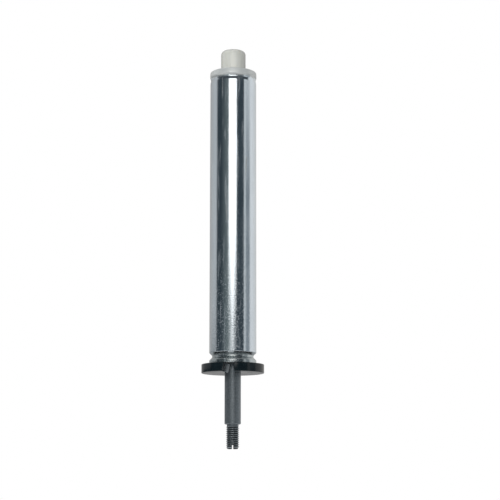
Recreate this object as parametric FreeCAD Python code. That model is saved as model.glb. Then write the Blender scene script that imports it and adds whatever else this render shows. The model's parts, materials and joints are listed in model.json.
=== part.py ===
import FreeCAD, Part
import math
import os

from FreeCAD import Vector

# Hydraulic shock absorber of a washing machine, upright, in millimetres.
# Z = 0 is the shoulder of the rod that the stud's nut pulls up against, and the rod's axis is the Z axis.
# The barrel stands at the lower end of its stroke, just above the stop disc.

# Rod and stud
rod_radius = 5.0
stud_radius = 4.0
stud_length = 15.0
stud_chamfer = 1.0
stud_slot_width = 1.2
stud_slot_depth = 2.5
stud_slot_turn = 4.5
stem_length = 31.2
shoulder_chamfer = 0.4
spigot_radius = 4.0
spigot_overhang = 1.0
spigot_chamfer = 0.6

# Stop disc and the neck of the rod that holds it
disc_radius = 19.3
disc_thickness = 5.4
disc_edge = 0.35
disc_bore_edge = 0.8
neck_radius = 4.3
slot_turn = 7.5
slot_inner_width = 3.1
slot_outer_width = 7.2
slot_slant = 1.2

# Barrel tube
barrel_radius = 14.5
barrel_wall = 1.2
end_edge = 0.35
lip_opening_gap = 0.2
top_corner = 0.7
bead_height = 0.2
lip_lean = 0.15

# Groove rolled in above the lower end
groove_bottom = 2.1
groove_flank = 1.75
groove_floor = 1.2
groove_depth = 1.75
groove_corner = 0.6
groove_root = 0.5

# Shallow neck rolled in below the top
crimp_below_top = 5.2
crimp_half_height = 2.0
crimp_depth = 0.45
crimp_corner = 1.2
crimp_root = 4.0

# Guide at the lower end
guide_recess = 0.4
guide_length = 22.5
guide_bore_gap = 0.4
guide_chamfer = 0.5
wiper_radius = 8.0
wiper_height = 4.2
wiper_lip = 1.0
bush_wall = 1.0
bush_length = 9.0
seal_radius = 8.6
seal_height = 5.0
seal_lip = 1.6
retainer_thickness = 1.0
o_ring_section = 2.0
guide_o_ring_below_top = 6.5

# Stroke and the parts that travel with the rod
stroke = 80.0
buffer_radius = 9.5
buffer_height = 7.0
buffer_round = 2.0
snap_ring_thickness = 1.2
snap_ring_depth = 0.7
snap_ring_width = 2.4
snap_ring_gap = 4.0
shoulder_land = 1.7
support_washer_radius = 8.5
washer_thickness = 1.5
valve_disc_radius = 10.6
valve_disc_thickness = 0.4
piston_height = 12.0
piston_skirt_gap = 0.5
piston_edge = 0.6
port_circle = 8.4
port_radius = 1.1
port_count = 6
piston_ring_height = 4.0
piston_ring_depth = 1.8
cone_height = 2.0
cone_thickness = 0.7
cone_radius = 9.4
stop_washer_radius = 7.5
nut_across_flats = 13.0
nut_height = 5.0
nut_chamfer = 0.7

# Floating piston and its spring
oil_gap = 3.2
separator_height = 12.0
separator_floor = 4.0
separator_cup_radius = 10.0
spring_fitted_length = 28.5
spring_wire = 1.5
spring_radius = 8.4
spring_turns = 5

# Top cap and stub
cap_height = 8.35
cap_step = 3.4
cap_o_ring_above_base = 2.2
cap_spigot_height = 2.2
cap_boss_height = 3.0
flange_thickness = 2.85
stub_radius = 7.8
stub_land = 0.3
stub_height = 14.4
stub_round = 2.55
stub_core_radius = 4.6
stub_core_roof = 3.4

# Clearances
running_fit = 0.05
seat_fit = 0.04
travel_gap = 0.3

# Shortest line that an outline keeps
smallest_edge = 1e-6

# Sizes that follow from those above
bore_radius = barrel_radius - barrel_wall
disc_bottom = stem_length
disc_top = disc_bottom + disc_thickness
barrel_end = disc_top + travel_gap
groove_start = barrel_end + groove_bottom
groove_end = groove_start + 2 * groove_flank + groove_floor
guide_bottom = barrel_end + guide_recess
guide_top = guide_bottom + guide_length
buffer_bottom = guide_top + stroke + travel_gap
buffer_top = buffer_bottom + buffer_height
snap_ring_top = buffer_top + snap_ring_thickness
rod_shoulder = snap_ring_top + shoulder_land
rebound_disc_bottom = rod_shoulder + washer_thickness
piston_bottom = rebound_disc_bottom + valve_disc_thickness
piston_top = piston_bottom + piston_height
cone_bottom = piston_top + valve_disc_thickness
stop_washer_bottom = cone_bottom + cone_height
nut_bottom = stop_washer_bottom + washer_thickness
rod_end = nut_bottom + nut_height + spigot_overhang
separator_bottom = rod_end + oil_gap
spring_bottom = separator_bottom + separator_floor
cap_bottom = spring_bottom + spring_fitted_length
cap_top = cap_bottom + cap_height
flange_bottom = cap_top + seat_fit
flange_top = flange_bottom + flange_thickness
barrel_top = flange_top + seat_fit + barrel_wall
crimp_z = barrel_top - crimp_below_top
stub_top = barrel_top + stub_height
inner_radius = bore_radius - seat_fit
o_ring_groove_radius = inner_radius - o_ring_section + seat_fit
rod_bore = rod_radius + running_fit


def fillet_arc(before, corner, after, radius):
    """Start, middle and end of the arc that rounds a corner of an outline."""
    arm_in = (before - corner).normalize()
    arm_out = (after - corner).normalize()
    half_angle = arm_in.getAngle(arm_out) / 2
    reach = radius / math.tan(half_angle)
    bisector = (arm_in + arm_out).normalize()
    centre = corner + bisector * (radius / math.sin(half_angle))
    return corner + arm_in * reach, centre - bisector * radius, corner + arm_out * reach


def revolve(outline):
    """Solid of revolution from a closed outline of (radius, height) or (radius, height, rounding) points."""
    points = [Vector(point[0], 0, point[1]) for point in outline]
    roundings = [point[2] if len(point) > 2 else 0 for point in outline]
    starts = []
    ends = []
    edges = []
    for index, corner in enumerate(points):
        if not roundings[index]:
            starts.append(corner)
            ends.append(corner)
            continue
        after = points[(index + 1) % len(points)]
        start, middle, end = fillet_arc(points[index - 1], corner, after, roundings[index])
        edges.append(Part.Arc(start, middle, end).toShape())
        starts.append(start)
        ends.append(end)
    for index, end in enumerate(ends):
        next_start = starts[(index + 1) % len(starts)]
        if end.distanceToPoint(next_start) > smallest_edge:
            edges.append(Part.makeLine(end, next_start))
    wire = Part.Wire(Part.__sortEdges__(edges))
    return Part.Face(wire).revolve(Vector(0, 0, 0), Vector(0, 0, 1), 360)


def ring(inner, outer, bottom, top, edge=0):
    """Plain ring, with its outer edges rounded where an edge is given."""
    return revolve([(inner, bottom), (outer, bottom, edge), (outer, top, edge), (inner, top)])


def o_ring(groove_radius, middle_z):
    """Seal ring of round section lying in a groove."""
    section = o_ring_section / 2
    return Part.makeTorus(groove_radius + seat_fit + section, section, Vector(0, 0, middle_z))


def rolled_groove(radius, spread, corner, root):
    """Outline points, going up, of the groove rolled into the tube near its lower end."""
    bottom = groove_start - spread
    top = groove_end + spread
    return [
        (radius, bottom, corner),
        (radius - groove_depth, bottom + groove_flank, root),
        (radius - groove_depth, top - groove_flank, root),
        (radius, top, corner),
    ]


def crimp_neck(radius_below, radius_above):
    """Outline points, going up, of the shallow neck rolled in over the step of the top cap."""
    return [
        (radius_below, crimp_z - crimp_half_height, crimp_corner),
        (radius_below - crimp_depth, crimp_z, crimp_root),
        (radius_above, crimp_z + crimp_half_height, crimp_corner),
    ]


# The tube's inner face follows the rolled groove at the wall's thickness
inner_spread = barrel_wall * math.tan(math.atan(groove_depth / groove_flank) / 2)
inner_groove_root = groove_root + barrel_wall


def make_barrel_tube():
    bead_radius = barrel_radius + bead_height
    lip_radius = stub_radius + stub_land + lip_opening_gap
    outside = [(barrel_radius, barrel_end, end_edge)]
    outside += rolled_groove(barrel_radius, 0, groove_corner, groove_root)
    outside += crimp_neck(barrel_radius, bead_radius)
    outside += [(bead_radius - lip_lean, barrel_top, top_corner)]
    inside = [(bore_radius, barrel_end, end_edge)]
    inside += rolled_groove(bore_radius, inner_spread, 0, inner_groove_root)
    inside += crimp_neck(bore_radius, bore_radius)
    inside += [(bore_radius, barrel_top - barrel_wall)]
    lip = [(lip_radius, barrel_top, end_edge), (lip_radius, barrel_top - barrel_wall)]
    return revolve(outside + lip + inside[::-1])


def make_piston_rod():
    neck_bottom = disc_bottom - seat_fit
    neck_top = disc_top + seat_fit
    snap_groove_radius = rod_radius - snap_ring_depth
    rod = revolve([
        (0, -stud_length),
        (stud_radius - stud_chamfer, -stud_length),
        (stud_radius, stud_chamfer - stud_length),
        (stud_radius, 0),
        (rod_radius - shoulder_chamfer, 0),
        (rod_radius, shoulder_chamfer),
        (rod_radius, neck_bottom),
        (neck_radius, neck_bottom),
        (neck_radius, neck_top),
        (rod_radius, neck_top),
        (rod_radius, buffer_top),
        (snap_groove_radius, buffer_top),
        (snap_groove_radius, snap_ring_top),
        (rod_radius, snap_ring_top),
        (rod_radius, rod_shoulder),
        (spigot_radius, rod_shoulder),
        (spigot_radius, rod_end - spigot_chamfer),
        (spigot_radius - spigot_chamfer, rod_end),
        (0, rod_end),
    ])
    slot_corner = Vector(-stud_slot_width / 2, -rod_radius, -stud_length)
    slot = Part.makeBox(stud_slot_width, 2 * rod_radius, stud_slot_depth, slot_corner)
    slot.rotate(Vector(0, 0, 0), Vector(0, 0, 1), stud_slot_turn)
    return rod.cut(slot)


def slot_section(height, lean):
    """Wedge outline of the disc's slit at one height, its left side moved out by the lean."""
    inner_y = -neck_radius / 2
    outer_y = -disc_radius - slot_outer_width
    widening = (slot_outer_width - slot_inner_width) / 2 / (disc_radius - neck_radius)
    inner_half = slot_inner_width / 2 - widening * neck_radius / 2
    outer_half = slot_outer_width / 2 + widening * slot_outer_width
    corners = [
        Vector(-inner_half - lean, inner_y, height),
        Vector(inner_half, inner_y, height),
        Vector(outer_half, outer_y, height),
        Vector(-outer_half - lean, outer_y, height),
    ]
    return Part.makePolygon(corners + corners[:1])


def make_stop_disc():
    bore = neck_radius + seat_fit
    disc = revolve([
        (bore, disc_bottom, disc_bore_edge),
        (disc_radius, disc_bottom, disc_edge),
        (disc_radius, disc_top, disc_edge),
        (bore, disc_top, disc_bore_edge),
    ])
    lower = slot_section(disc_bottom, slot_slant / 2)
    upper = slot_section(disc_top, -slot_slant / 2)
    slit = Part.makeLoft([lower, upper], True, True)
    slit.rotate(Vector(0, 0, 0), Vector(0, 0, 1), -slot_turn)
    return disc.cut(slit)


def make_rod_guide():
    wiper_top = guide_bottom + wiper_height
    bush_bore = rod_bore + bush_wall + seat_fit
    bush_top = wiper_top + bush_length
    seal_bottom = guide_top - retainer_thickness - seal_height
    narrow_bore = rod_radius + guide_bore_gap
    ring_middle = guide_top - guide_o_ring_below_top
    half_slot = o_ring_section / 2 + seat_fit
    outside = [(inner_radius - guide_chamfer, guide_bottom), (inner_radius, guide_bottom + guide_chamfer)]
    outside += rolled_groove(inner_radius, inner_spread, 0, inner_groove_root)
    outside += [
        (inner_radius, ring_middle - half_slot),
        (o_ring_groove_radius - seat_fit, ring_middle - half_slot),
        (o_ring_groove_radius - seat_fit, ring_middle + half_slot),
        (inner_radius, ring_middle + half_slot),
        (inner_radius, guide_top - guide_chamfer),
        (inner_radius - guide_chamfer, guide_top),
    ]
    inside = [
        (wiper_radius, guide_bottom),
        (wiper_radius, wiper_top),
        (bush_bore, wiper_top),
        (bush_bore, bush_top),
        (narrow_bore, bush_top),
        (narrow_bore, seal_bottom),
        (seal_radius, seal_bottom),
        (seal_radius, guide_top),
    ]
    return revolve(outside + inside[::-1])


def make_guide_bush():
    bottom = guide_bottom + wiper_height
    return ring(rod_bore, rod_bore + bush_wall, bottom, bottom + bush_length)


def make_wiper_ring():
    top = guide_bottom + wiper_height
    outer = wiper_radius - seat_fit
    return revolve([
        (rod_bore, guide_bottom),
        (rod_bore + wiper_lip, guide_bottom),
        (rod_bore + wiper_lip, guide_bottom + wiper_lip),
        (outer, guide_bottom + wiper_lip),
        (outer, top),
        (rod_bore + wiper_lip, top),
        (rod_bore + wiper_lip, top - wiper_lip),
        (rod_bore, top - wiper_lip),
    ])


def make_rod_seal():
    top = guide_top - retainer_thickness
    bottom = top - seal_height
    outer = seal_radius - seat_fit
    valley = (rod_bore + outer) / 2
    return revolve([
        (rod_bore, bottom),
        (outer, bottom),
        (outer, top),
        (outer - seal_lip, top),
        (valley, top - seal_lip),
        (rod_bore + seal_lip / 2, top),
        (rod_bore, top),
    ])


def make_seal_retainer():
    bottom = guide_top - retainer_thickness
    return ring(rod_radius + guide_bore_gap, seal_radius - seat_fit, bottom, guide_top)


def make_guide_o_ring():
    return o_ring(o_ring_groove_radius - seat_fit, guide_top - guide_o_ring_below_top)


def make_rebound_buffer():
    return ring(rod_radius + seat_fit, buffer_radius, buffer_bottom, buffer_top, buffer_round)


def make_buffer_ring():
    inner = rod_radius - snap_ring_depth + seat_fit
    snap_ring = ring(inner, inner + snap_ring_width, buffer_top, snap_ring_top)
    reach = inner + snap_ring_width
    gap_corner = Vector(-snap_ring_gap / 2, 0, buffer_top)
    return snap_ring.cut(Part.makeBox(snap_ring_gap, reach, snap_ring_thickness, gap_corner))


def make_support_washer():
    return ring(spigot_radius + seat_fit, support_washer_radius, rod_shoulder, rebound_disc_bottom)


def make_rebound_valve_disc():
    return ring(spigot_radius + seat_fit, valve_disc_radius, rebound_disc_bottom, piston_bottom)


def make_piston():
    skirt = bore_radius - piston_skirt_gap
    groove_inner = bore_radius - running_fit - piston_ring_depth - seat_fit
    groove_bottom_z = piston_bottom + (piston_height - piston_ring_height) / 2 - seat_fit
    groove_top_z = groove_bottom_z + piston_ring_height + 2 * seat_fit
    piston = revolve([
        (spigot_radius + seat_fit, piston_bottom),
        (skirt, piston_bottom, piston_edge),
        (skirt, groove_bottom_z),
        (groove_inner, groove_bottom_z),
        (groove_inner, groove_top_z),
        (skirt, groove_top_z),
        (skirt, piston_top, piston_edge),
        (spigot_radius + seat_fit, piston_top),
    ])
    for index in range(port_count):
        angle = 2 * math.pi * index / port_count
        place = Vector(port_circle * math.cos(angle), port_circle * math.sin(angle), piston_bottom)
        piston = piston.cut(Part.makeCylinder(port_radius, piston_height, place))
    return piston


def make_piston_ring():
    outer = bore_radius - running_fit
    bottom = piston_bottom + (piston_height - piston_ring_height) / 2
    return ring(outer - piston_ring_depth, outer, bottom, bottom + piston_ring_height)


def make_compression_valve_disc():
    return ring(spigot_radius + seat_fit, valve_disc_radius, piston_top, cone_bottom)


def make_valve_spring():
    inner = spigot_radius + seat_fit
    return revolve([
        (inner, stop_washer_bottom - cone_thickness),
        (cone_radius, cone_bottom),
        (cone_radius, cone_bottom + cone_thickness),
        (inner, stop_washer_bottom),
    ])


def make_stop_washer():
    return ring(spigot_radius + seat_fit, stop_washer_radius, stop_washer_bottom, nut_bottom)


def make_piston_nut():
    sides = 6
    corner_radius = nut_across_flats / 2 / math.cos(math.pi / sides)
    corners = []
    for index in range(sides):
        angle = 2 * math.pi * index / sides
        corners.append(Vector(corner_radius * math.cos(angle), corner_radius * math.sin(angle), nut_bottom))
    hexagon = Part.Face(Part.makePolygon(corners + corners[:1])).extrude(Vector(0, 0, nut_height))
    top = nut_bottom + nut_height
    turned = revolve([
        (spigot_radius + seat_fit, nut_bottom),
        (corner_radius, nut_bottom),
        (corner_radius, top - nut_chamfer),
        (corner_radius - 2 * nut_chamfer, top),
        (spigot_radius + seat_fit, top),
    ])
    return hexagon.common(turned)


def make_separator_piston():
    outer = bore_radius - running_fit
    top = separator_bottom + separator_height
    ring_middle = separator_bottom + separator_height / 2
    half_slot = o_ring_section / 2 + seat_fit
    slot_radius = outer - o_ring_section - seat_fit
    return revolve([
        (0, separator_bottom),
        (outer, separator_bottom, piston_edge),
        (outer, ring_middle - half_slot),
        (slot_radius, ring_middle - half_slot),
        (slot_radius, ring_middle + half_slot),
        (outer, ring_middle + half_slot),
        (outer, top, piston_edge),
        (separator_cup_radius, top),
        (separator_cup_radius, spring_bottom),
        (0, spring_bottom),
    ])


def make_separator_o_ring():
    slot_radius = bore_radius - running_fit - o_ring_section - seat_fit
    return o_ring(slot_radius, separator_bottom + separator_height / 2)


def make_compensation_spring():
    """Coil of tilted half rings, each starting on the face where the one below it ends."""
    half_count = 2 * spring_turns
    half_rise = (spring_fitted_length - spring_wire - 2 * seat_fit) / half_count
    start_z = spring_bottom + spring_wire / 2 + seat_fit
    half_rings = []
    for index in range(half_count):
        side = (-1) ** index
        low = start_z + index * half_rise
        start = Vector(side * spring_radius, 0, low)
        middle = Vector(0, 0, low + half_rise / 2)
        tilted_axis = Vector(side * half_rise, 0, 2 * spring_radius)
        section = Part.Face(Part.Wire(Part.makeCircle(spring_wire / 2, start, Vector(0, 1, 0))))
        half_rings.append(section.revolve(middle, tilted_axis, 180))
    return half_rings[0].multiFuse(half_rings[1:])


def make_top_cap():
    step_z = cap_top - cap_step
    step_radius = inner_radius - crimp_depth
    ring_middle = cap_bottom + cap_o_ring_above_base
    half_slot = o_ring_section / 2 + seat_fit
    slot_radius = o_ring_groove_radius - seat_fit
    spigot_radius_down = spring_radius - spring_wire / 2 - travel_gap
    boss_radius = stub_core_radius - seat_fit
    return revolve([
        (0, cap_bottom - cap_spigot_height),
        (spigot_radius_down, cap_bottom - cap_spigot_height),
        (spigot_radius_down, cap_bottom),
        (inner_radius, cap_bottom),
        (inner_radius, ring_middle - half_slot),
        (slot_radius, ring_middle - half_slot),
        (slot_radius, ring_middle + half_slot),
        (inner_radius, ring_middle + half_slot),
        (inner_radius, step_z),
        (step_radius, step_z),
        (step_radius, cap_top),
        (boss_radius, cap_top),
        (boss_radius, cap_top + cap_boss_height),
        (0, cap_top + cap_boss_height),
    ])


def make_cap_o_ring():
    return o_ring(o_ring_groove_radius - seat_fit, cap_bottom + cap_o_ring_above_base)


def make_top_stub():
    flange_radius = inner_radius - crimp_depth
    roof = stub_top - stub_core_roof
    return revolve([
        (stub_core_radius, flange_bottom),
        (flange_radius, flange_bottom),
        (flange_radius, flange_top),
        (stub_radius + stub_land, flange_top),
        (stub_radius + stub_land, barrel_top),
        (stub_radius, barrel_top),
        (stub_radius, stub_top, stub_round),
        (0, stub_top),
        (0, roof),
        (stub_core_radius, roof),
    ])


pieces = {
    "piston_rod": make_piston_rod,
    "stop_disc": make_stop_disc,
    "rebound_buffer": make_rebound_buffer,
    "buffer_ring": make_buffer_ring,
    "support_washer": make_support_washer,
    "rebound_valve_disc": make_rebound_valve_disc,
    "piston": make_piston,
    "piston_ring": make_piston_ring,
    "compression_valve_disc": make_compression_valve_disc,
    "valve_spring": make_valve_spring,
    "stop_washer": make_stop_washer,
    "piston_nut": make_piston_nut,
    "barrel_tube": make_barrel_tube,
    "rod_guide": make_rod_guide,
    "guide_bush": make_guide_bush,
    "wiper_ring": make_wiper_ring,
    "rod_seal": make_rod_seal,
    "seal_retainer": make_seal_retainer,
    "guide_o_ring": make_guide_o_ring,
    "top_cap": make_top_cap,
    "cap_o_ring": make_cap_o_ring,
    "top_stub": make_top_stub,
    "compensation_spring": make_compensation_spring,
    "separator_piston": make_separator_piston,
    "separator_o_ring": make_separator_o_ring,
}

os.makedirs("parts", exist_ok=True)
for name, make_piece in pieces.items():
    make_piece().exportStep(f"parts/{name}.step")
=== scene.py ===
import json
import math

import bpy
import bmesh
from mathutils import Matrix, Vector


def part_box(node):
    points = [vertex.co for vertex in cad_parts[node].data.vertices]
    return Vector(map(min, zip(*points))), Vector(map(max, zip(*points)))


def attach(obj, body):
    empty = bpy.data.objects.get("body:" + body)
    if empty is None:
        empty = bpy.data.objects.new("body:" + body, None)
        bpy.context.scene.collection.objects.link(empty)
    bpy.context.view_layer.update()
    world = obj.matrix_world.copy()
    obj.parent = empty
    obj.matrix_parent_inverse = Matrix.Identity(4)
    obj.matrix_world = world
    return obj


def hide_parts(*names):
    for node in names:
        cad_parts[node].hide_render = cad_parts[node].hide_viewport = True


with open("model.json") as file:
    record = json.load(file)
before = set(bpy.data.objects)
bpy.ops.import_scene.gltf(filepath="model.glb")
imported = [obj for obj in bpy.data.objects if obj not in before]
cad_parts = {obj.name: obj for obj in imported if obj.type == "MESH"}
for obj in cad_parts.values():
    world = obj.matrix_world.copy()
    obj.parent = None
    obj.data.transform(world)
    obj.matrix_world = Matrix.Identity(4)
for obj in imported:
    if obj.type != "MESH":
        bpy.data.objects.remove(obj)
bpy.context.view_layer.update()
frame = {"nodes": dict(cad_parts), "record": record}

# Sizes in metres. The rod's axis is the Z axis, and heights come from the frame.
mm = 0.001

# Roundness of the turned pieces
segments = 192
arc_steps = 8
sharp_angle = math.radians(32)
weld_distance = 0.001 * mm

# Barrel tube
barrel_radius = 14.5 * mm
barrel_wall = 1.2 * mm
end_edge = 0.35 * mm
lip_gap = 0.2 * mm
top_corner = 0.7 * mm
bead_height = 0.2 * mm
lip_lean = 0.15 * mm

# Groove rolled in above the barrel's lower end
groove_bottom = 2.1 * mm
groove_flank = 1.75 * mm
groove_floor = 1.2 * mm
groove_depth = 1.75 * mm
groove_corner = 0.6 * mm
groove_root = 0.5 * mm

# Shallow neck rolled in below the barrel's top
crimp_below_top = 5.2 * mm
crimp_half_height = 2.0 * mm
crimp_depth = 0.45 * mm
crimp_corner = 1.2 * mm
crimp_root = 4.0 * mm

# Plastic stub
stub_radius = 7.8 * mm
stub_land = 0.3 * mm
stub_round = 2.55 * mm
stub_core_radius = 4.6 * mm
stub_core_roof = 3.4 * mm
flange_thickness = 2.85 * mm
gate_radius = 0.8 * mm
gate_dish_radius = 2.4 * mm
gate_dish_depth = 0.35 * mm
gate_slope = 0.25 * mm

# Rod, stud and thread
rod_radius = 5.0 * mm
neck_radius = 4.3 * mm
shoulder_chamfer = 0.4 * mm
seat_fit = 0.04 * mm
snap_ring_depth = 0.7 * mm
spigot_radius = 4.0 * mm
spigot_chamfer = 0.6 * mm
stud_radius = 4.0 * mm
stud_chamfer = 1.0 * mm
stud_slot_width = 1.2 * mm
stud_slot_depth = 2.5 * mm
stud_slot_turn = math.radians(4.5)
thread_pitch = 1.25 * mm
thread_depth = 0.65 * mm
thread_run_out = 1.7 * mm
crest_width = 0.26 * mm
root_width = 0.26 * mm
root_round = 0.04 * mm
undercut_radius = 3.6 * mm
undercut_height = 0.9 * mm

# Stop disc and its slit
disc_radius = 19.3 * mm
disc_edge = 0.35 * mm
disc_bore_edge = 0.8 * mm
disc_steps = 160
slot_turn = math.radians(7.5)
slot_inner_width = 3.1 * mm
slot_outer_width = 7.2 * mm
slot_slant = 1.2 * mm
slot_edge = 0.15 * mm
slot_edge_steps = 2
slot_edge_angle = math.radians(50)


def fillet_points(before, corner, after, radius):
    """Points of the arc that rounds a corner of an outline."""
    arm_in = (before - corner).normalized()
    arm_out = (after - corner).normalized()
    half_angle = arm_in.angle(arm_out) / 2
    bisector = (arm_in + arm_out).normalized()
    centre = corner + bisector * (radius / math.sin(half_angle))
    start = corner + arm_in * (radius / math.tan(half_angle)) - centre
    end = corner + arm_out * (radius / math.tan(half_angle)) - centre
    sweep = start.angle(end)
    points = []
    for step in range(arc_steps + 1):
        share = step / arc_steps
        part = start * math.sin((1 - share) * sweep) + end * math.sin(share * sweep)
        points.append(centre + part / math.sin(sweep))
    return points


def rounded(outline):
    """Closed outline of (radius, height[, rounding]) points, with each rounding drawn as an arc."""
    corners = [Vector(point[:2]) for point in outline]
    points = []
    for index, point in enumerate(outline):
        if len(point) == 2 or not point[2]:
            points.append(corners[index])
            continue
        after = corners[(index + 1) % len(corners)]
        points += fillet_points(corners[index - 1], corners[index], after, point[2])
    return points


def on_circle(radius, angle, height):
    return (radius * math.cos(angle), radius * math.sin(angle), height)


def mesh_piece(name, points, faces):
    """New object from points and faces, with doubled points joined and smooth shading."""
    mesh = bpy.data.meshes.new(name)
    mesh.from_pydata(points, [], faces)
    form = bmesh.new()
    form.from_mesh(mesh)
    bmesh.ops.remove_doubles(form, verts=form.verts, dist=weld_distance)
    bmesh.ops.recalc_face_normals(form, faces=form.faces)
    form.to_mesh(mesh)
    form.free()
    mesh.shade_smooth()
    mesh.set_sharp_from_angle(angle=sharp_angle)
    piece = bpy.data.objects.new(name, mesh)
    bpy.context.scene.collection.objects.link(piece)
    return piece


def ring_faces(row_count, turn_shift=0):
    """Quads between rows of points round the axis. A thread's row closes onto a row further on."""
    faces = []
    for row in range(row_count - 1):
        for index in range(segments):
            last = index == segments - 1
            shift = turn_shift if last else 0
            if row + 1 + shift >= row_count:
                continue
            here = row * segments + index
            beside = (row + shift) * segments + (index + 1) % segments
            faces.append((here, beside, beside + segments, here + segments))
    return faces


def turned_rows(outline):
    """Rows of points round the axis, one for each point of an outline."""
    rows = []
    for radius, height in outline:
        for index in range(segments):
            rows.append(on_circle(radius, 2 * math.pi * index / segments, height))
    return rows


def turned_piece(name, outline):
    """Closed piece turned about the axis from a closed outline."""
    closed = rounded(outline)
    points = turned_rows(closed + closed[:1])
    return mesh_piece(name, points, ring_faces(len(closed) + 1))


def rolled_groove(end_z, radius, spread, corner, root):
    """Outline points, going up, of the groove rolled in near the barrel's lower end."""
    bottom = end_z + groove_bottom - spread
    floor_start = bottom + groove_flank
    floor_end = floor_start + groove_floor + 2 * spread
    return [
        (radius, bottom, corner),
        (radius - groove_depth, floor_start, root),
        (radius - groove_depth, floor_end, root),
        (radius, floor_end + groove_flank, corner),
    ]


def crimp_neck(top_z, radius_below, radius_above):
    """Outline points, going up, of the shallow neck rolled in below the barrel's top."""
    neck_z = top_z - crimp_below_top
    return [
        (radius_below, neck_z - crimp_half_height, crimp_corner),
        (radius_below - crimp_depth, neck_z, crimp_root),
        (radius_above, neck_z + crimp_half_height, crimp_corner),
    ]


def make_barrel():
    """Tube with a groove near its lower end, a neck near its top and a lip over the stub's flange."""
    low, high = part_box("barrel_tube")
    bead_radius = barrel_radius + bead_height
    bore_radius = barrel_radius - barrel_wall
    lip_radius = stub_radius + stub_land + lip_gap
    spread = barrel_wall * math.tan(math.atan(groove_depth / groove_flank) / 2)
    outside = [(barrel_radius, low.z, end_edge)]
    outside += rolled_groove(low.z, barrel_radius, 0, groove_corner, groove_root)
    outside += crimp_neck(high.z, barrel_radius, bead_radius)
    outside += [(bead_radius - lip_lean, high.z, top_corner)]
    inside = [(bore_radius, low.z, end_edge)]
    inside += rolled_groove(low.z, bore_radius, spread, 0, groove_root + barrel_wall)
    inside += crimp_neck(high.z, bore_radius, bore_radius)
    inside += [(bore_radius, high.z - barrel_wall)]
    lip = [(lip_radius, high.z, end_edge), (lip_radius, high.z - barrel_wall)]
    return turned_piece("barrel_shell", outside + lip + inside[::-1])


def make_stub():
    """Hollow spigot on a flange, with a rounded end and a dished moulding gate on top."""
    low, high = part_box("top_stub")
    barrel_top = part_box("barrel_tube")[1].z
    flange_radius = high.x
    flange_top = low.z + flange_thickness
    roof = high.z - stub_core_roof
    dish = high.z - gate_dish_depth
    return turned_piece("stub_shell", [
        (stub_core_radius, low.z),
        (flange_radius, low.z),
        (flange_radius, flange_top),
        (stub_radius + stub_land, flange_top),
        (stub_radius + stub_land, barrel_top),
        (stub_radius, barrel_top),
        (stub_radius, high.z, stub_round),
        (gate_dish_radius, high.z),
        (gate_dish_radius - gate_slope, dish),
        (gate_radius, dish),
        (gate_radius - gate_slope, high.z - gate_slope),
        (0, high.z - gate_slope),
        (0, roof),
        (stub_core_radius, roof),
    ])


def thread_profile():
    """One pitch of the thread: (share of the pitch, radius) points from crest to crest."""
    crest = crest_width / thread_pitch
    root = root_width / thread_pitch
    root_start = crest + (1 - crest - root) / 2
    root_radius = stud_radius - thread_depth
    return [
        (0, stud_radius),
        (crest, stud_radius),
        (root_start, root_radius),
        (root_start + root / 2, root_radius - root_round),
        (root_start + root, root_radius),
    ]


def thread_radius(radius, height, bottom):
    """Thread radius at a height, cut back by the end chamfer and the undercut below the shoulder."""
    fade = (-height - undercut_height) / (thread_run_out - undercut_height)
    radius = undercut_radius + (radius - undercut_radius) * min(1, max(0, fade))
    return min(radius, stud_radius - stud_chamfer + height - bottom)


def thread_rows(bottom):
    """Rows of points that climb along the thread from the stud's end to the rod's shoulder."""
    profile = thread_profile()
    turns = math.ceil(-bottom / thread_pitch) + 2
    rows = []
    for turn in range(turns):
        for share, radius in profile:
            for index in range(segments):
                angle = index / segments
                climb = bottom + (turn - 1 + share + angle) * thread_pitch
                height = min(0, max(bottom, climb))
                reach = thread_radius(radius, height, bottom)
                rows.append(on_circle(reach, 2 * math.pi * angle, height))
    return rows


def rod_outline():
    """Outline of the rod from the shoulder up to the end that carries the piston."""
    disc_low, disc_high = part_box("stop_disc")
    ring_low, ring_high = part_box("buffer_ring")
    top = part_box("piston_rod")[1].z
    piston_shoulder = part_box("support_washer")[0].z
    neck_bottom = disc_low.z - seat_fit
    neck_top = disc_high.z + seat_fit
    snap_radius = rod_radius - snap_ring_depth
    return [
        Vector(point) for point in (
            (undercut_radius, 0),
            (rod_radius - shoulder_chamfer, 0),
            (rod_radius, shoulder_chamfer),
            (rod_radius, neck_bottom),
            (neck_radius, neck_bottom),
            (neck_radius, neck_top),
            (rod_radius, neck_top),
            (rod_radius, ring_low.z),
            (snap_radius, ring_low.z),
            (snap_radius, ring_high.z),
            (rod_radius, ring_high.z),
            (rod_radius, piston_shoulder),
            (spigot_radius, piston_shoulder),
            (spigot_radius, top - spigot_chamfer),
            (spigot_radius - spigot_chamfer, top),
            (0, top),
        )
    ]


def cut_end_slot(rod, bottom):
    """Cuts the screwdriver slot into the stud's end."""
    half_width = stud_slot_width / 2
    reach = stud_radius + stud_chamfer
    across = (-half_width, half_width, half_width, -half_width)
    along = (-reach, -reach, reach, reach)
    corners = []
    for height in (bottom - stud_slot_depth, bottom + stud_slot_depth):
        for x, y in zip(across, along):
            corners.append(Matrix.Rotation(stud_slot_turn, 3, "Z") @ Vector((x, y, height)))
    sides = [(index, (index + 1) % 4, (index + 1) % 4 + 4, index + 4) for index in range(4)]
    cutter = mesh_piece("slot_cutter", corners, sides + [(3, 2, 1, 0), (4, 5, 6, 7)])
    cut = rod.modifiers.new("end_slot", "BOOLEAN")
    cut.object = cutter
    cut.operation = "DIFFERENCE"
    cut.solver = "EXACT"
    settled = rod.evaluated_get(bpy.context.evaluated_depsgraph_get())
    rod.data = bpy.data.meshes.new_from_object(settled)
    rod.modifiers.clear()
    rod.data.set_sharp_from_angle(angle=sharp_angle)
    bpy.data.objects.remove(cutter)


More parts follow.
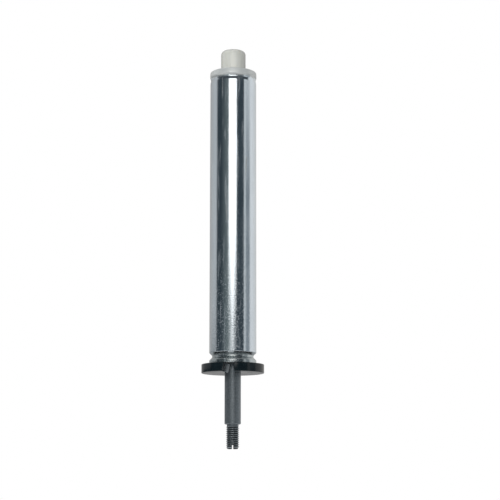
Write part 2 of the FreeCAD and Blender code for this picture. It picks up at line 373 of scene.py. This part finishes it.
def make_rod():
    """Rod with a threaded stud below its shoulder and a slot in the stud's end."""
    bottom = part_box("piston_rod")[0].z
    lower = thread_rows(bottom)
    lower_rows = len(lower) // segments
    upper = turned_rows(rod_outline())
    upper_rows = len(upper) // segments
    end_ring = tuple(range(segments))
    faces = [end_ring[::-1]]
    faces += ring_faces(lower_rows, len(thread_profile()))
    faces += [tuple(index + len(lower) for index in face) for face in ring_faces(upper_rows)]
    rod = mesh_piece("rod_shell", lower + upper, faces)
    cut_end_slot(rod, bottom)
    return rod


def slot_angle(half_width, radius):
    """Angle at the axis that half a slit takes up at a radius."""
    return math.asin(half_width / radius)


def make_disc():
    """Rubber disc whose two ends face each other across a widening slit, one of them slanting."""
    low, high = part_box("stop_disc")
    bore = neck_radius + seat_fit
    outline = rounded([
        (bore, low.z, disc_bore_edge),
        (disc_radius, low.z, disc_edge),
        (disc_radius, high.z, disc_edge),
        (bore, high.z, disc_bore_edge),
    ])
    widening = (slot_outer_width - slot_inner_width) / 2 / (disc_radius - neck_radius)
    points = []
    for step in range(disc_steps + 1):
        for radius, height in outline:
            half_width = slot_inner_width / 2 + widening * (radius - neck_radius)
            lean = slot_slant * (0.5 - (height - low.z) / (high.z - low.z))
            slit = -math.pi / 2 - slot_turn
            start = slit + slot_angle(half_width, radius)
            end = slit + 2 * math.pi - slot_angle(half_width + lean, radius)
            points.append(on_circle(radius, start + (end - start) * step / disc_steps, height))
    count = len(outline)
    faces = [tuple(range(count)), tuple(range(disc_steps * count, (disc_steps + 1) * count))[::-1]]
    for step in range(disc_steps):
        for index in range(count):
            here = step * count + index
            beside = step * count + (index + 1) % count
            faces.append((here, beside, beside + count, here + count))
    disc = mesh_piece("disc_body", points, faces)
    edge = disc.modifiers.new("slit_edge", "BEVEL")
    edge.width = slot_edge
    edge.segments = slot_edge_steps
    edge.limit_method = "ANGLE"
    edge.angle_limit = slot_edge_angle
    return disc


# Range that most of a noise falls in
noise_range = (0.3, 0.7)

# Zinc plating; the specks' start and full strength are shares of the tube's length
line_width = 1.2 * mm
line_stretch = 18
line_depth = 0.02 * mm
scratch_range = (0.52, 0.7)
scratch_dulling = 0.3
grain_size = 0.8 * mm
grain_depth = 0.01 * mm
speck_depth = 0.032 * mm
speck_range = (0.54, 0.69)
speck_dulling = 0.42
specks_start = 0.7
specks_full = 0.1
patch_size = 9 * mm
patch_stretch = 2.5
rim_fade_below = 3.4 * mm
rim_fade_above = 0.8 * mm
groove_fade = 0.5 * mm
# Painted shade: the rolled groove's colour is darkened by this much for the shade in its hollow
groove_painted_shade = 0.32

# Ivory plastic
streak_width = 2.2 * mm
streak_stretch = 6
moulding_grain_size = 0.4 * mm
moulding_grain_depth = 0.01 * mm
glow_depth = 2 * mm

# Black rubber; the cut is told by how far a face's normal passes the axis
bloom_size = 4 * mm
cut_lever = (1 * mm, 3 * mm)
skin_grain_size = 0.5 * mm
skin_grain_depth = 0.004 * mm

# Dark steel
mottle_size = 0.5 * mm
mottle_stretch = 1.6
# Painted light and shade on the thread: its roots are darkened, and its crests are lightened for wear
# and as painted light
root_painted_shade = -0.6
crest_wear_and_painted_light = 0.6
drawn_line_width = 0.6 * mm
drawn_line_stretch = 12
drawn_line_depth = 0.006 * mm
pit_size = 0.35 * mm
pit_depth = 0.008 * mm

# Hidden turned and moulded pieces
stain_size = 3 * mm
ring_width = 0.3 * mm
ring_stretch = 30
ring_depth = 0.01 * mm
tint_size = 2.5 * mm
pebble_size = 0.3 * mm
pebble_depth = 0.015 * mm


class Nodes:
    """Short ways to add nodes to a tree."""

    def __init__(self, tree):
        self.tree = tree

    def add(self, kind, **settings):
        node = self.tree.nodes.new(kind)
        for key, value in settings.items():
            setattr(node, key, value)
        return node

    def link(self, source, target):
        """Links an output to an input. A plain number is set on the input itself."""
        if isinstance(source, (int, float)):
            target.default_value = source
        else:
            self.tree.links.new(source, target)

    def maths(self, operation, first, second=0):
        node = self.add("ShaderNodeMath", operation=operation)
        self.link(first, node.inputs[0])
        self.link(second, node.inputs[1])
        return node.outputs[0]

    def part(self, axis, vector):
        """One of the three parts of a vector."""
        node = self.add("ShaderNodeSeparateXYZ")
        self.link(vector, node.inputs[0])
        return node.outputs[axis]

    def spread(self, value, low, high, to_low=0.0, to_high=1.0):
        """Maps a range of a value smoothly to another range."""
        node = self.add("ShaderNodeMapRange", interpolation_type="SMOOTHSTEP")
        keys = ("From Min", "From Max", "To Min", "To Max")
        for key, number in zip(keys, (low, high, to_low, to_high)):
            node.inputs[key].default_value = number
        self.link(value, node.inputs["Value"])
        return node.outputs["Result"]

    def ramp(self, value, stops):
        """Colour that runs through (place, colour) stops of a value."""
        node = self.add("ShaderNodeValToRGB")
        elements = node.color_ramp.elements
        while len(elements) < len(stops):
            elements.new(1.0)
        for element, (place, shade) in zip(elements, stops):
            element.position = place
            element.color = (*shade, 1)
        self.link(value, node.inputs["Fac"])
        return node.outputs["Color"]


class Finish(Nodes):
    """Material with a plain shader and short ways to add noise, colour changes and bumps to it."""

    def __init__(self, name, roughness, metallic=0.0):
        self.material = bpy.data.materials.new(name)
        self.material.use_nodes = True
        super().__init__(self.material.node_tree)
        self.shader = self.tree.nodes["Principled BSDF"]
        self.shader.inputs["Roughness"].default_value = roughness
        self.shader.inputs["Metallic"].default_value = metallic
        self.place = self.add("ShaderNodeTexCoord").outputs["Object"]
        self.normal = None

    def noise(self, size, detail=4.0, stretch=(1, 1, 1)):
        """Noise with grains of about the given size, drawn out along an axis by its stretch."""
        mapping = self.add("ShaderNodeMapping")
        mapping.inputs["Scale"].default_value = [1 / (size * part) for part in stretch]
        self.link(self.place, mapping.inputs["Vector"])
        texture = self.add("ShaderNodeTexNoise")
        texture.inputs["Scale"].default_value = 1
        texture.inputs["Detail"].default_value = detail
        self.link(mapping.outputs["Vector"], texture.inputs["Vector"])
        return texture.outputs["Fac"]

    def along_axis(self, low, high):
        """Rises from 0 to 1 between two heights of the object."""
        return self.spread(self.part("Z", self.place), low, high)

    def from_axis(self, low, high, to_low=0.0, to_high=1.0):
        """Goes from one value to another between two distances from the object's axis."""
        flat = self.add("ShaderNodeVectorMath", operation="MULTIPLY")
        self.link(self.place, flat.inputs[0])
        flat.inputs[1].default_value = (1, 1, 0)
        distance = self.add("ShaderNodeVectorMath", operation="LENGTH")
        self.link(flat.outputs["Vector"], distance.inputs[0])
        return self.spread(distance.outputs["Value"], low, high, to_low, to_high)

    def across_turning(self, low, high):
        """Is 1 on faces that stand across the turning direction, as the walls of a slit do."""
        lever = self.add("ShaderNodeVectorMath", operation="CROSS_PRODUCT")
        self.link(self.place, lever.inputs[0])
        self.link(self.add("ShaderNodeTexCoord").outputs["Normal"], lever.inputs[1])
        return self.spread(self.maths("ABSOLUTE", self.part("Z", lever.outputs["Vector"])), low, high)

    def colour(self, value, *stops):
        self.link(self.ramp(value, stops), self.shader.inputs["Base Color"])

    def two_tones(self, value, dark, light):
        """Colour that runs from dark to light over a noise."""
        self.colour(value, *zip(noise_range, (dark, light)))

    def mixed(self, first, first_share, second, second_share):
        """Sum of two values, each times its share."""
        first_part = self.maths("MULTIPLY", first, first_share)
        return self.maths("ADD", first_part, self.maths("MULTIPLY", second, second_share))

    def roughness(self, value, low, high):
        self.link(self.spread(value, *noise_range, low, high), self.shader.inputs["Roughness"])

    def bump(self, value, depth, strength=1.0):
        """Adds a bump of the given depth over the bumps added before it."""
        node = self.add("ShaderNodeBump")
        node.inputs["Strength"].default_value = strength
        node.inputs["Distance"].default_value = depth
        self.link(value, node.inputs["Height"])
        if self.normal:
            self.link(self.normal, node.inputs["Normal"])
        self.normal = node.outputs["Normal"]
        self.link(self.normal, self.shader.inputs["Normal"])


def zinc_steel():
    """Bright bluish zinc plating with faint drawing lines and specks near the lower end.

    It is dull on the rolled rim, and rougher in the rolled groove, whose darker grey is painted shade
    for its hollow.
    """
    finish = Finish("zinc_steel", roughness=0.16, metallic=1.0)
    low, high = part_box("barrel_tube")
    length = high.z - low.z
    lines = finish.noise(line_width, detail=2, stretch=(1, 1, line_stretch))
    grain = finish.noise(grain_size, detail=2)
    patches = finish.noise(patch_size, detail=5, stretch=(1, 1, patch_stretch))
    rim_start = high.z - crimp_below_top + crimp_half_height
    rim = finish.along_axis(rim_start - rim_fade_below, rim_start + rim_fade_above)
    groove_top = low.z + groove_bottom + 2 * groove_flank + groove_floor
    rolled = finish.along_axis(groove_top + groove_fade, groove_top - groove_fade)
    towards_end = finish.along_axis(low.z + specks_start * length, low.z + specks_full * length)
    lower_end = finish.maths("SUBTRACT", towards_end, rolled)
    specks = finish.maths("MULTIPLY", finish.spread(grain, *speck_range, 0, speck_dulling), lower_end)
    scratches = finish.spread(lines, *scratch_range, 0, scratch_dulling)
    dull = finish.maths("MAXIMUM", rim, finish.maths("MAXIMUM", specks, scratches))
    shade = finish.mixed(patches, 0.6, dull, 0.4)
    # Painted shade: the colour is darkened in the rolled groove's hollow
    finish.colour(
        finish.maths("SUBTRACT", shade, finish.maths("MULTIPLY", rolled, groove_painted_shade)),
        (0.04, (0.46, 0.5, 0.51)),
        (0.18, (0.60, 0.66, 0.71)),
        (0.42, (0.68, 0.74, 0.79)),
        (0.58, (0.53, 0.55, 0.545)),
        (0.82, (0.57, 0.59, 0.585)),
    )
    polish = finish.spread(patches, *noise_range, to_low=0.12, to_high=0.19)
    worked = finish.mixed(dull, 0.13, rolled, 0.09)
    finish.link(finish.maths("ADD", polish, worked), finish.shader.inputs["Roughness"])
    finish.link(finish.spread(dull, 0, 1, to_low=1, to_high=0.4), finish.shader.inputs["Metallic"])
    finish.bump(lines, line_depth, strength=0.5)
    finish.bump(finish.maths("MULTIPLY", grain, lower_end), speck_depth)
    finish.bump(grain, grain_depth)
    return finish.material


def ivory_plastic():
    """Natural nylon, satin, with faint streaks along the stub and moulding grain."""
    finish = Finish("ivory_plastic", roughness=0.24)
    streaks = finish.noise(streak_width, detail=4, stretch=(1, 1, streak_stretch))
    finish.two_tones(streaks, (0.455, 0.46, 0.425), (0.515, 0.52, 0.485))
    finish.roughness(streaks, 0.16, 0.24)
    finish.bump(finish.noise(moulding_grain_size, detail=3), moulding_grain_depth, strength=0.5)
    shader = finish.shader.inputs
    shader["Specular IOR Level"].default_value = 0.8
    shader["Subsurface Weight"].default_value = 0.15
    shader["Subsurface Radius"].default_value = (1.0, 0.9, 0.7)
    shader["Subsurface Scale"].default_value = glow_depth
    return finish.material


def black_rubber():
    """Smooth glossy black rubber. Where the slit was cut it is duller, and its grey there is painted
    light: a painted reflection of the rod that grows lighter towards the bore, against the slit's
    shade.
    """
    finish = Finish("black_rubber", roughness=0.2)
    bloom = finish.noise(bloom_size, detail=6)
    slit_wall = finish.across_turning(*cut_lever)
    # Painted light and reflection on the slit's walls, lighter towards the bore where the slit is
    # shaded
    cut = finish.maths("MULTIPLY", slit_wall, finish.from_axis(disc_radius, neck_radius))
    shade = finish.maths("MULTIPLY", finish.maths("ADD", bloom, cut), 0.5)
    # The two grey stops are the painted light on the slit's walls
    finish.colour(
        shade,
        (0.15, (0.003, 0.006, 0.008)),
        (0.38, (0.007, 0.012, 0.015)),
        (0.62, (0.28, 0.31, 0.33)),
        (0.88, (0.62, 0.66, 0.68)),
    )
    dullness = finish.spread(shade, 0.15, 0.85, to_low=0.12, to_high=0.7)
    finish.link(dullness, finish.shader.inputs["Roughness"])
    finish.shader.inputs["Specular IOR Level"].default_value = 0.3
    finish.bump(finish.noise(skin_grain_size, detail=4), skin_grain_depth, strength=0.4)
    return finish.material


def dark_steel():
    """Dark nitrided steel, matt and mottled. The thread's crests are bright from wear and painted
    light, and its roots are black with painted shade.
    """
    finish = Finish("dark_steel", roughness=0.42, metallic=0.85)
    mottle = finish.noise(mottle_size, detail=6, stretch=(1, 1, mottle_stretch))
    crests = finish.from_axis(stud_radius - thread_depth, stud_radius, root_painted_shade, crest_wear_and_painted_light)
    thread_wear_and_shade = finish.maths("MULTIPLY", finish.along_axis(0, -thread_run_out), crests)
    # Painted shade in the thread's roots, and painted light with wear on its crests
    finish.colour(
        finish.mixed(mottle, 0.6, thread_wear_and_shade, 0.4),
        (0.06, (0.035, 0.042, 0.046)),
        (0.18, (0.13, 0.15, 0.165)),
        (0.42, (0.25, 0.28, 0.3)),
        (0.8, (0.46, 0.5, 0.53)),
    )
    matt = finish.spread(mottle, *noise_range, to_low=0.38, to_high=0.5)
    polished = finish.maths("MULTIPLY", thread_wear_and_shade, 0.28)
    finish.link(finish.maths("SUBTRACT", matt, polished), finish.shader.inputs["Roughness"])
    drawn_lines = finish.noise(drawn_line_width, detail=3, stretch=(1, 1, drawn_line_stretch))
    finish.bump(drawn_lines, drawn_line_depth, strength=0.4)
    finish.bump(finish.noise(pit_size, detail=3), pit_depth, strength=0.4)
    return finish.material


def turned_metal(name, dark, light, roughness):
    """Turned metal with fine rings round its axis."""
    finish = Finish(name, roughness, metallic=1.0)
    stains = finish.noise(stain_size, detail=5)
    finish.two_tones(stains, dark, light)
    finish.roughness(stains, roughness - 0.05, roughness + 0.07)
    rings = finish.noise(ring_width, detail=2, stretch=(ring_stretch, ring_stretch, 1))
    finish.bump(rings, ring_depth, strength=0.5)
    return finish.material


def dull_polymer(name, dark, light, roughness):
    """Matt moulded rubber or plastic with a fine grain."""
    finish = Finish(name, roughness)
    tint = finish.noise(tint_size, detail=5)
    finish.two_tones(tint, dark, light)
    finish.roughness(tint, roughness - 0.08, roughness + 0.08)
    finish.bump(finish.noise(pebble_size, detail=3), pebble_depth, strength=0.5)
    return finish.material


def make_materials():
    """One material for each slot of the record."""
    return {
        "zinc_steel": zinc_steel(),
        "ivory_plastic": ivory_plastic(),
        "black_rubber": black_rubber(),
        "dark_steel": dark_steel(),
        "seal_rubber": dull_polymer("seal_rubber", (0.02, 0.02, 0.022), (0.04, 0.04, 0.042), 0.6),
        "glide_plastic": dull_polymer("glide_plastic", (0.15, 0.095, 0.05), (0.24, 0.16, 0.09), 0.5),
        "spring_steel": turned_metal("spring_steel", (0.24, 0.25, 0.28), (0.36, 0.37, 0.40), 0.3),
        "plain_steel": turned_metal("plain_steel", (0.42, 0.42, 0.42), (0.58, 0.58, 0.58), 0.3),
        "sintered_iron": turned_metal("sintered_iron", (0.2, 0.2, 0.2), (0.3, 0.3, 0.3), 0.5),
        "cast_aluminium": turned_metal("cast_aluminium", (0.52, 0.53, 0.54), (0.66, 0.67, 0.68), 0.35),
        "bronze": turned_metal("bronze", (0.42, 0.28, 0.14), (0.56, 0.39, 0.21), 0.35),
    }


def dress(materials):
    """Gives each node's object its slot's material, and puts the finer pieces in their nodes' place."""
    slots = {part["node"]: part["material_slot"] for part in frame["record"]["subparts"]}
    for node, piece in frame["nodes"].items():
        piece.data.materials.clear()
        piece.data.materials.append(materials[slots[node]])
    makers = {
        "barrel_tube": (make_barrel, "barrel"),
        "top_stub": (make_stub, "barrel"),
        "piston_rod": (make_rod, "rod"),
        "stop_disc": (make_disc, "rod"),
    }
    for node, (make_piece, body) in makers.items():
        piece = make_piece()
        piece.data.materials.clear()
        piece.data.materials.append(materials[slots[node]])
        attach(piece, body)
        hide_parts(node)


# Floor, lamps and camera
floor_z = -60 * mm
floor_radius = 180 * mm
floor_clear = 60 * mm
floor_faded = 165 * mm
floor_corners = 64
floor_patch_size = 30 * mm
floor_dark = (0.84, 0.84, 0.84)
floor_light = (0.88, 0.88, 0.88)
lamp_size = 300 * mm
lamp_target = (0, 0, 120 * mm)
front_lamp_place = (-320 * mm, -900 * mm, 300 * mm)
front_lamp_power = 9
rear_lamp_place = (100 * mm, 950 * mm, 300 * mm)
rear_lamp_power = 7
camera_place = (10.6 * mm, -903 * mm, -43 * mm)
camera_pitch = math.radians(9.5)
camera_lens = 105.7
camera_sensor = 36

# Studio round the object, by degrees from the camera's side, positive to the right
backdrop = (0.42, 0.42, 0.42)
far_left = (0.47, 0.46, 0.45)
left_backdrop = (0.58, 0.585, 0.59)
left_card = (0.04, 0.055, 0.065)
lit_card = (0.17, 0.2, 0.2)
dark_card = (0.042, 0.058, 0.07)
side_light = (0.77, 0.785, 0.785)
right_backdrop = (0.87, 0.865, 0.86)
far_right = (0.74, 0.73, 0.71)
studio_ring = [
    (-180, backdrop),
    (-150, far_left),
    (-105, left_backdrop),
    (-91.5, left_backdrop),
    (-83.5, left_card),
    (-60, left_card),
    (-24, lit_card),
    (17, dark_card),
    (55.5, dark_card),
    (57.5, side_light),
    (84, side_light),
    (92, right_backdrop),
    (110, right_backdrop),
    (150, far_right),
    (180, backdrop),
]

# Cards, softbox, ceiling and table over that ring, by degrees to the side and up, with blurred edges
edge_blur = 1
low_card = (0.05, 0.06, 0.065)
low_card_sides = (-135, -80)
low_card_side_blur = 3
low_card_top = 3.4
low_card_top_blur = 0.3
grey_card = (0.26, 0.29, 0.31)
grey_card_sides = (66, 92)
grey_card_top = 14.6
softbox = (2.47, 2.4, 2.32)
softbox_sides = (-21, 17.5)
softbox_middle = -1.5
softbox_foot = (2.2, 6.2)
softbox_foot_slope = 0.22
card_rim = (0.05, 0.06, 0.07)
card_rim_sides = (-90, 90)
card_rim_side_blur = 4
card_rim_start = 19.5
ceiling = (0.55, 0.55, 0.55)
ceiling_start = 45
ceiling_blur = 3
zenith = (0.35, 0.36, 0.37)
zenith_start = 70
zenith_blur = 10
table = (0.44, 0.45, 0.46)
table_top = -11
table_blur = 6
white = (1, 1, 1)


def make_world():
    """Studio drawn by direction: a softbox in front, dark cards, pale backdrops, a ceiling and a table.

    Only the camera's own rays see a white background in its place.
    """
    world = bpy.data.worlds.new("studio")
    bpy.context.scene.world = world
    world.use_nodes = True
    sky = Nodes(world.node_tree)
    direction = sky.add("ShaderNodeTexCoord").outputs["Generated"]
    forward = sky.maths("MULTIPLY", sky.part("Y", direction), -1)
    azimuth = sky.maths("DEGREES", sky.maths("ARCTAN2", sky.part("X", direction), forward))
    elevation = sky.maths("DEGREES", sky.maths("ARCSINE", sky.part("Z", direction)))

    def within(sides, blur=edge_blur):
        rise = sky.spread(azimuth, sides[0] - blur, sides[0] + blur)
        fall = sky.spread(azimuth, sides[1] - blur, sides[1] + blur, 1, 0)
        return sky.maths("MULTIPLY", rise, fall)

    def above(start, blur=edge_blur):
        return sky.spread(elevation, start - blur, start + blur)

    def below(top, blur=edge_blur):
        return sky.spread(elevation, top - blur, top + blur, 1, 0)

    def both(first, second):
        return sky.maths("MULTIPLY", first, second)

    def over(under, shade, mask):
        node = sky.add("ShaderNodeMix", data_type="RGBA")
        factor, first, second = (socket for socket in node.inputs if socket.enabled)
        sky.link(mask, factor)
        sky.link(under, first)
        second.default_value = (*shade, 1)
        return next(socket for socket in node.outputs if socket.enabled)

    turn = sky.maths("ADD", sky.maths("DIVIDE", azimuth, 360), 0.5)
    light = sky.ramp(turn, [((angle + 180) / 360, shade) for angle, shade in studio_ring])
    light = over(light, grey_card, both(within(grey_card_sides), below(grey_card_top)))
    low_sides = within(low_card_sides, low_card_side_blur)
    light = over(light, low_card, both(low_sides, below(low_card_top, low_card_top_blur)))
    from_middle = sky.maths("ABSOLUTE", sky.maths("SUBTRACT", azimuth, softbox_middle))
    over_foot = sky.maths("SUBTRACT", elevation, sky.maths("MULTIPLY", from_middle, softbox_foot_slope))
    light = over(light, softbox, both(within(softbox_sides), sky.spread(over_foot, *softbox_foot)))
    rim_sides = within(card_rim_sides, card_rim_side_blur)
    light = over(light, card_rim, both(rim_sides, above(card_rim_start)))
    light = over(light, ceiling, above(ceiling_start, ceiling_blur))
    light = over(light, zenith, above(zenith_start, zenith_blur))
    light = over(light, table, below(table_top, table_blur))
    light = over(light, white, sky.add("ShaderNodeLightPath").outputs["Is Camera Ray"])
    sky.link(light, sky.tree.nodes["Background"].inputs["Color"])


def make_floor():
    """Pale floor that keeps the shadow near the object and fades to the white background."""
    angles = [2 * math.pi * index / floor_corners for index in range(floor_corners)]
    points = [on_circle(floor_radius, angle, floor_z) for angle in angles]
    floor = mesh_piece("floor", points, [tuple(range(floor_corners))])
    finish = Finish("pale_floor", roughness=0.8)
    finish.two_tones(finish.noise(floor_patch_size, detail=3), floor_dark, floor_light)
    distance = finish.add("ShaderNodeVectorMath", operation="LENGTH")
    finish.link(finish.place, distance.inputs[0])
    faded = finish.spread(distance.outputs["Value"], floor_clear, floor_faded)
    path = finish.add("ShaderNodeLightPath")
    seen = finish.maths("MAXIMUM", path.outputs["Is Camera Ray"], path.outputs["Is Glossy Ray"])
    glow = finish.add("ShaderNodeEmission")
    blend = finish.add("ShaderNodeMixShader")
    finish.link(finish.maths("MULTIPLY", faded, seen), blend.inputs["Fac"])
    finish.link(finish.shader.outputs[0], blend.inputs[1])
    finish.link(glow.outputs[0], blend.inputs[2])
    finish.link(blend.outputs[0], finish.tree.nodes["Material Output"].inputs["Surface"])
    floor.data.materials.append(finish.material)


def make_lamp(name, place, power):
    """Soft lamp for the matt surfaces, left out of the reflections in the metal."""
    lamp = bpy.data.lights.new(name, "AREA")
    lamp.size = lamp_size
    lamp.energy = power
    holder = bpy.data.objects.new(name, lamp)
    holder.location = place
    holder.rotation_euler = (Vector(lamp_target) - Vector(place)).to_track_quat("-Z", "Y").to_euler()
    holder.visible_glossy = False
    bpy.context.scene.collection.objects.link(holder)


def make_camera():
    """Camera in front of the object, a little below it and tilted up."""
    camera = bpy.data.cameras.new("camera")
    camera.lens = camera_lens
    camera.sensor_width = camera_sensor
    holder = bpy.data.objects.new("camera", camera)
    holder.location = camera_place
    holder.rotation_euler = (math.pi / 2 + camera_pitch, 0, 0)
    bpy.context.scene.collection.objects.link(holder)
    bpy.context.scene.camera = holder


dress(make_materials())
make_world()
make_floor()
make_lamp("front_lamp", front_lamp_place, front_lamp_power)
make_lamp("rear_lamp", rear_lamp_place, rear_lamp_power)
make_camera()
bpy.context.scene.view_settings.view_transform = "Standard"
